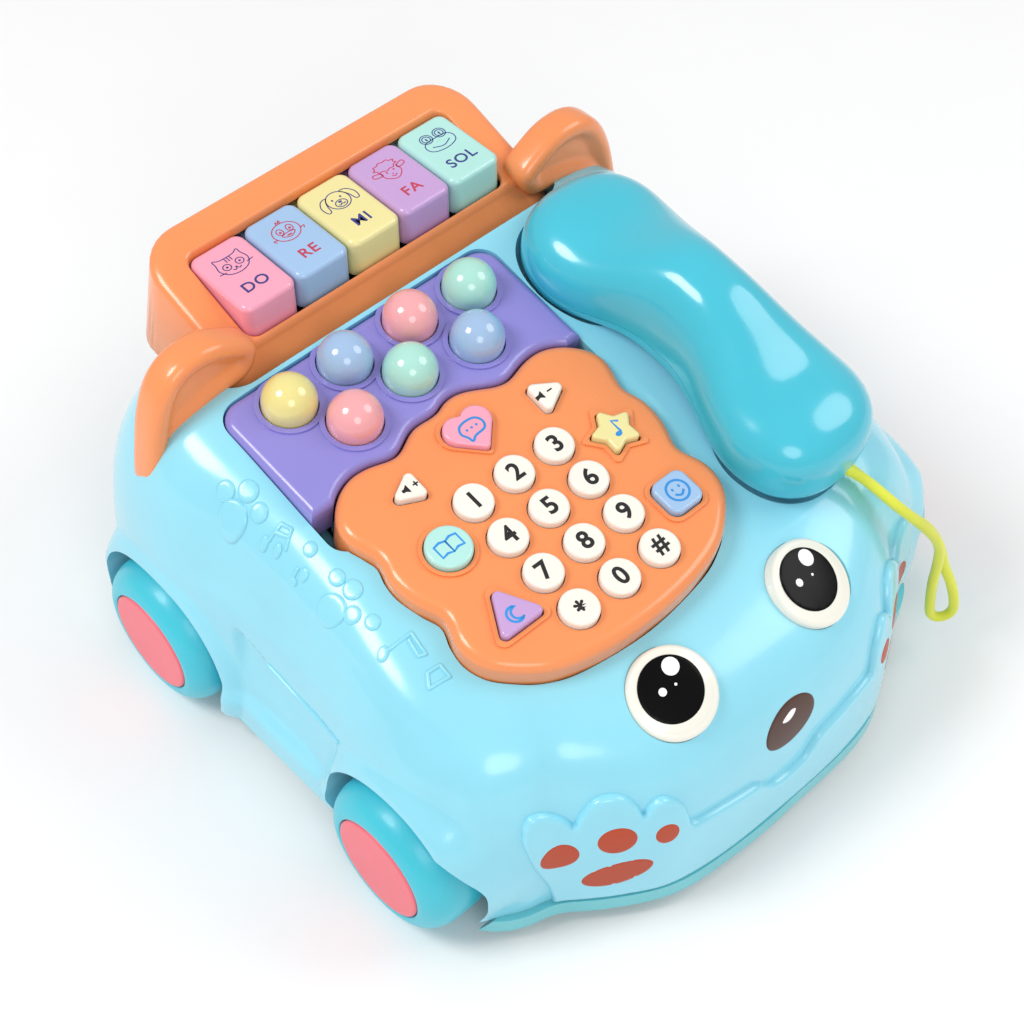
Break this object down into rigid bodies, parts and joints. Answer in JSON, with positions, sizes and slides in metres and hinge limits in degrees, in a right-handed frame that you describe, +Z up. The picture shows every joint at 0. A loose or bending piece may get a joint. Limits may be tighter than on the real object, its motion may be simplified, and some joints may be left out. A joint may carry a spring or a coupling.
{
  "type": "toy telephone car",
  "caption": "Puppy-faced toy car telephone with round number buttons, bubble buttons, a small row of piano keys, rolling wheels and a lift-off handset on a wrist strap.",
  "frame": {"origin": "on the ground, under the middle of the toy's length and width", "axes": "+Z up; the puppy's face looks along -Y; +X is on the handset's side"},
  "size_m": [0.2076, 0.2125, 0.1253],
  "materials": {
    "shell_blue": "gloss",
    "base_blue": "gloss",
    "handset_teal": "gloss",
    "orange": "gloss",
    "purple": "gloss",
    "cream": "gloss",
    "pink": "gloss",
    "sky": "gloss",
    "lemon": "gloss",
    "lilac": "gloss",
    "mint": "gloss",
    "dome_yellow": "gloss",
    "dome_blue": "gloss",
    "dome_pink": "gloss",
    "dome_mint": "gloss",
    "eye_white": "gloss",
    "tyre_teal": "satin",
    "hub_coral": "satin",
    "strap_lime": "woven",
    "steel": "satin",
    "spring_steel": "bright",
    "board_green": "satin",
    "mat_rubber": "matte",
    "speaker_black": "matte",
    "cell_wrap": "gloss",
    "switch_black": "matte"
  },
  "bodies": {
    "body": {"upper_shell": "shell_blue", "base_shell": "base_blue", "battery_door": "base_blue", "case_screws": "steel", "batteries": "cell_wrap", "battery_contacts": "spring_steel", "speaker": "speaker_black", "eyes": "eye_white", "keypad_panel": "orange", "keypad_mat": "mat_rubber", "circuit_board": "board_green", "dome_panel": "purple", "dome_board": "board_green", "piano_housing": "orange", "piano_board": "board_green", "key_hinge_rod": "steel"},
    "number_1": {"button_1": "cream"},
    "number_2": {"button_2": "cream"},
    "number_3": {"button_3": "cream"},
    "number_4": {"button_4": "cream"},
    "number_5": {"button_5": "cream"},
    "number_6": {"button_6": "cream"},
    "number_7": {"button_7": "cream"},
    "number_8": {"button_8": "cream"},
    "number_9": {"button_9": "cream"},
    "number_asterisk": {"button_asterisk": "cream"},
    "number_0": {"button_0": "cream"},
    "number_hash": {"button_hash": "cream"},
    "heart_key": {"heart_button": "pink"},
    "star_key": {"star_button": "lemon"},
    "round_key": {"round_button": "mint"},
    "triangle_key": {"triangle_button": "lilac"},
    "square_key": {"square_button": "sky"},
    "volume_up_key": {"volume_up_button": "cream"},
    "volume_down_key": {"volume_down_button": "cream"},
    "bubble_1": {"dome_1": "dome_yellow"},
    "bubble_2": {"dome_2": "dome_blue"},
    "bubble_3": {"dome_3": "dome_pink"},
    "bubble_4": {"dome_4": "dome_mint"},
    "bubble_5": {"dome_5": "dome_pink"},
    "bubble_6": {"dome_6": "dome_mint"},
    "bubble_7": {"dome_7": "dome_blue"},
    "key_do": {"piano_key_do": "pink"},
    "key_re": {"piano_key_re": "sky"},
    "key_mi": {"piano_key_mi": "lemon"},
    "key_fa": {"piano_key_fa": "lilac"},
    "key_sol": {"piano_key_sol": "mint"},
    "handset": {"handset_upper": "handset_teal", "handset_lower": "handset_teal", "handset_screws": "steel", "lanyard": "strap_lime"},
    "switch": {"power_switch": "switch_black"},
    "front_wheels": {"front_axle": "steel", "wheel_front_left": "tyre_teal", "wheel_front_right": "tyre_teal", "hub_caps_front": "hub_coral"},
    "rear_wheels": {"rear_axle": "steel", "wheel_rear_left": "tyre_teal", "wheel_rear_right": "tyre_teal", "hub_caps_rear": "hub_coral"}
  },
  "joints": [
    {"name": "lift_handset", "type": "slide", "parent": "body", "child": "handset", "axis": [0, -0.168, 0.9858], "range_m": [0, 0.06]},
    {"name": "power_slide", "type": "slide", "parent": "body", "child": "switch", "axis": [1, 0, 0], "range_m": [0, 0.004]},
    {"name": "front_axle_spin", "type": "hinge", "parent": "body", "child": "front_wheels", "pos_m": [0, -0.0484, 0.024], "axis": [1, 0, 0], "continuous": true},
    {"name": "rear_axle_spin", "type": "hinge", "parent": "body", "child": "rear_wheels", "pos_m": [0, 0.056, 0.024], "axis": [1, 0, 0], "continuous": true},
    {"name": "press_key_do", "type": "hinge", "parent": "body", "child": "key_do", "pos_m": [0, 0.0965, 0.1094], "axis": [1, 0, 0], "range_deg": [0, 4], "stiffness_Nm_per_rad": 0.15},
    {"name": "press_key_re", "type": "hinge", "parent": "body", "child": "key_re", "pos_m": [0, 0.0965, 0.1094], "axis": [1, 0, 0], "range_deg": [0, 4], "stiffness_Nm_per_rad": 0.15},
    {"name": "press_key_mi", "type": "hinge", "parent": "body", "child": "key_mi", "pos_m": [0, 0.0965, 0.1094], "axis": [1, 0, 0], "range_deg": [0, 4], "stiffness_Nm_per_rad": 0.15},
    {"name": "press_key_fa", "type": "hinge", "parent": "body", "child": "key_fa", "pos_m": [0, 0.0965, 0.1094], "axis": [1, 0, 0], "range_deg": [0, 4], "stiffness_Nm_per_rad": 0.15},
    {"name": "press_key_sol", "type": "hinge", "parent": "body", "child": "key_sol", "pos_m": [0, 0.0965, 0.1094], "axis": [1, 0, 0], "range_deg": [0, 4], "stiffness_Nm_per_rad": 0.15},
    {"name": "press_dome_1", "type": "slide", "parent": "body", "child": "bubble_1", "axis": [0, 0.168, -0.9858], "range_m": [0, 0.0024], "stiffness_N_per_m": 120},
    {"name": "press_dome_2", "type": "slide", "parent": "body", "child": "bubble_2", "axis": [0, 0.168, -0.9858], "range_m": [0, 0.0024], "stiffness_N_per_m": 120},
    {"name": "press_dome_3", "type": "slide", "parent": "body", "child": "bubble_3", "axis": [0, 0.168, -0.9858], "range_m": [0, 0.0024], "stiffness_N_per_m": 120},
    {"name": "press_dome_4", "type": "slide", "parent": "body", "child": "bubble_4", "axis": [0, 0.168, -0.9858], "range_m": [0, 0.0024], "stiffness_N_per_m": 120},
    {"name": "press_dome_5", "type": "slide", "parent": "body", "child": "bubble_5", "axis": [0, 0.168, -0.9858], "range_m": [0, 0.0024], "stiffness_N_per_m": 120},
    {"name": "press_dome_6", "type": "slide", "parent": "body", "child": "bubble_6", "axis": [0, 0.168, -0.9858], "range_m": [0, 0.0024], "stiffness_N_per_m": 120},
    {"name": "press_dome_7", "type": "slide", "parent": "body", "child": "bubble_7", "axis": [0, 0.168, -0.9858], "range_m": [0, 0.0024], "stiffness_N_per_m": 120},
    {"name": "press_heart", "type": "slide", "parent": "body", "child": "heart_key", "axis": [0, 0.168, -0.9858], "range_m": [0, 0.0016], "stiffness_N_per_m": 120},
    {"name": "press_star", "type": "slide", "parent": "body", "child": "star_key", "axis": [0, 0.168, -0.9858], "range_m": [0, 0.0016], "stiffness_N_per_m": 120},
    {"name": "press_round", "type": "slide", "parent": "body", "child": "round_key", "axis": [0, 0.168, -0.9858], "range_m": [0, 0.0016], "stiffness_N_per_m": 120},
    {"name": "press_triangle", "type": "slide", "parent": "body", "child": "triangle_key", "axis": [0, 0.168, -0.9858], "range_m": [0, 0.0016], "stiffness_N_per_m": 120},
    {"name": "press_square", "type": "slide", "parent": "body", "child": "square_key", "axis": [0, 0.168, -0.9858], "range_m": [0, 0.0016], "stiffness_N_per_m": 120},
    {"name": "press_volume_up", "type": "slide", "parent": "body", "child": "volume_up_key", "axis": [0, 0.168, -0.9858], "range_m": [0, 0.0016], "stiffness_N_per_m": 120},
    {"name": "press_volume_down", "type": "slide", "parent": "body", "child": "volume_down_key", "axis": [0, 0.168, -0.9858], "range_m": [0, 0.0016], "stiffness_N_per_m": 120},
    {"name": "press_1", "type": "slide", "parent": "body", "child": "number_1", "axis": [0, 0.168, -0.9858], "range_m": [0, 0.0016], "stiffness_N_per_m": 120},
    {"name": "press_2", "type": "slide", "parent": "body", "child": "number_2", "axis": [0, 0.168, -0.9858], "range_m": [0, 0.0016], "stiffness_N_per_m": 120},
    {"name": "press_3", "type": "slide", "parent": "body", "child": "number_3", "axis": [0, 0.168, -0.9858], "range_m": [0, 0.0016], "stiffness_N_per_m": 120},
    {"name": "press_4", "type": "slide", "parent": "body", "child": "number_4", "axis": [0, 0.168, -0.9858], "range_m": [0, 0.0016], "stiffness_N_per_m": 120},
    {"name": "press_5", "type": "slide", "parent": "body", "child": "number_5", "axis": [0, 0.168, -0.9858], "range_m": [0, 0.0016], "stiffness_N_per_m": 120},
    {"name": "press_6", "type": "slide", "parent": "body", "child": "number_6", "axis": [0, 0.168, -0.9858], "range_m": [0, 0.0016], "stiffness_N_per_m": 120},
    {"name": "press_7", "type": "slide", "parent": "body", "child": "number_7", "axis": [0, 0.168, -0.9858], "range_m": [0, 0.0016], "stiffness_N_per_m": 120},
    {"name": "press_8", "type": "slide", "parent": "body", "child": "number_8", "axis": [0, 0.168, -0.9858], "range_m": [0, 0.0016], "stiffness_N_per_m": 120},
    {"name": "press_9", "type": "slide", "parent": "body", "child": "number_9", "axis": [0, 0.168, -0.9858], "range_m": [0, 0.0016], "stiffness_N_per_m": 120},
    {"name": "press_asterisk", "type": "slide", "parent": "body", "child": "number_asterisk", "axis": [0, 0.168, -0.9858], "range_m": [0, 0.0016], "stiffness_N_per_m": 120},
    {"name": "press_0", "type": "slide", "parent": "body", "child": "number_0", "axis": [0, 0.168, -0.9858], "range_m": [0, 0.0016], "stiffness_N_per_m": 120},
    {"name": "press_hash", "type": "slide", "parent": "body", "child": "number_hash", "axis": [0, 0.168, -0.9858], "range_m": [0, 0.0016], "stiffness_N_per_m": 120}
  ]
}
